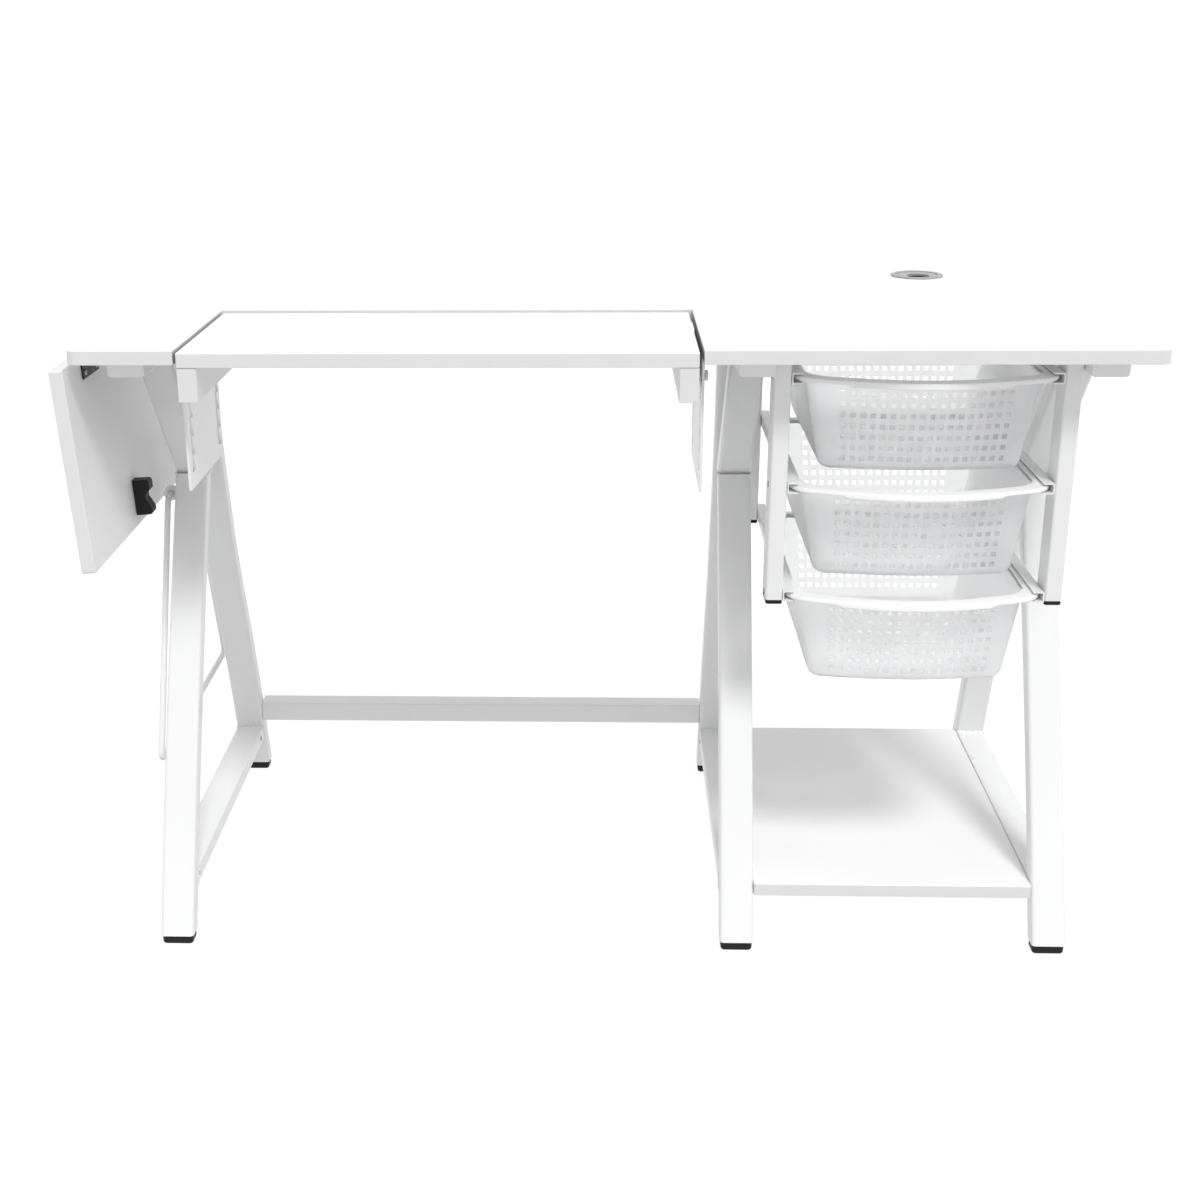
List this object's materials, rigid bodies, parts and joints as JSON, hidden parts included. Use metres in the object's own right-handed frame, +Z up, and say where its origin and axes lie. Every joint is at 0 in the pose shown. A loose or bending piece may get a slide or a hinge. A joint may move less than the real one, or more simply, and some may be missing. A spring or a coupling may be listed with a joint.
{
  "type": "sewing table",
  "caption": "White sewing table with a height-adjustable platform in a notch, a folding side leaf held by a wire bail, sliding plastic baskets, a low shelf and tubular steel leg frames.",
  "frame": {"origin": "on the floor under the middle of the whole table, with the side leaf hanging", "axes": "+X to the right of the person who sews, towards the baskets; +Y away from that person; +Z up"},
  "size_m": [1.2304, 0.597, 0.7703],
  "materials": {
    "white_board": "white melamine, satin",
    "white_steel": "white powder coat, satin",
    "black_plastic": "moulded, matte",
    "black_steel": "black coating, satin",
    "basket_plastic": "translucent white, moulded",
    "grey_plastic": "moulded, satin"
  },
  "bodies": {
    "root": {"desktop": "white_board", "lower_shelf": "white_board", "height_plate_left": "white_steel", "height_plate_right": "white_steel", "left_front_leg": "white_steel", "left_upper_strut": "white_steel", "left_rear_leg": "white_steel", "left_top_rail": "white_steel", "left_bottom_bar": "white_steel", "left_foot_front": "black_plastic", "left_foot_rear": "black_plastic", "middle_front_leg": "white_steel", "middle_upper_strut": "white_steel", "middle_rear_leg": "white_steel", "middle_top_rail": "white_steel", "middle_bottom_bar": "white_steel", "middle_foot_front": "black_plastic", "middle_foot_rear": "black_plastic", "right_front_leg": "white_steel", "right_upper_strut": "white_steel", "right_rear_leg": "white_steel", "right_top_rail": "white_steel", "right_bottom_bar": "white_steel", "right_foot_front": "black_plastic", "right_foot_rear": "black_plastic", "rear_stretcher": "white_steel", "cabinet_post_front_left": "white_steel", "post_cap_front_left": "black_plastic", "cabinet_post_front_right": "white_steel", "post_cap_front_right": "black_plastic", "cabinet_post_rear_left": "white_steel", "post_cap_rear_left": "black_plastic", "cabinet_post_rear_right": "white_steel", "post_cap_rear_right": "black_plastic", "runner_top_left": "white_steel", "runner_top_right": "white_steel", "runner_middle_left": "white_steel", "runner_middle_right": "white_steel", "runner_bottom_left": "white_steel", "runner_bottom_right": "white_steel", "hinge_fixed_front": "black_steel", "hinge_fixed_rear": "black_steel", "bail_sleeve_front": "white_steel", "bail_sleeve_rear": "white_steel", "grommet_ring": "grey_plastic"},
    "leaf": {"drop_leaf": "white_board", "hinge_moving_front": "black_steel", "hinge_moving_rear": "black_steel", "leaf_catch_front": "black_plastic", "leaf_catch_rear": "black_plastic"},
    "bail": {"leaf_bail": "white_steel"},
    "platform": {"sewing_platform": "white_board", "platform_cleat_left": "white_board", "platform_cleat_right": "white_board"},
    "top_basket": {"basket_top": "basket_plastic"},
    "middle_basket": {"basket_middle": "basket_plastic"},
    "bottom_basket": {"basket_bottom": "basket_plastic"},
    "cable_cover": {"grommet_cover": "grey_plastic"}
  },
  "joints": [
    {"name": "leaf_hinge", "type": "hinge", "parent": "root", "child": "leaf", "pos_m": [-0.59633, 0, 0.749], "axis": [0, 1, 0], "range_deg": [0, 93.7]},
    {"name": "bail_pivot", "type": "hinge", "parent": "root", "child": "bail", "pos_m": [-0.56783, 0, 0.52], "axis": [0, 1, 0], "range_deg": [0, 132.55]},
    {"name": "platform_height", "type": "slide", "parent": "root", "child": "platform", "axis": [0, 0, 1], "range_m": [-0.11, 0]},
    {"name": "top_basket_slide", "type": "slide", "parent": "root", "child": "top_basket", "axis": [0, -1, 0], "range_m": [0, 0.28]},
    {"name": "middle_basket_slide", "type": "slide", "parent": "root", "child": "middle_basket", "axis": [0, -1, 0], "range_m": [0, 0.28]},
    {"name": "bottom_basket_slide", "type": "slide", "parent": "root", "child": "bottom_basket", "axis": [0, -1, 0], "range_m": [0, 0.28]},
    {"name": "cable_cover_turn", "type": "hinge", "parent": "root", "child": "cable_cover", "pos_m": [0.43217, 0.235, 0.768], "axis": [0, 0, 1], "continuous": true}
  ],
  "couplings": [
    {"joint": "bail_pivot", "follows": "leaf_hinge", "ratio": 1.4146}
  ]
}
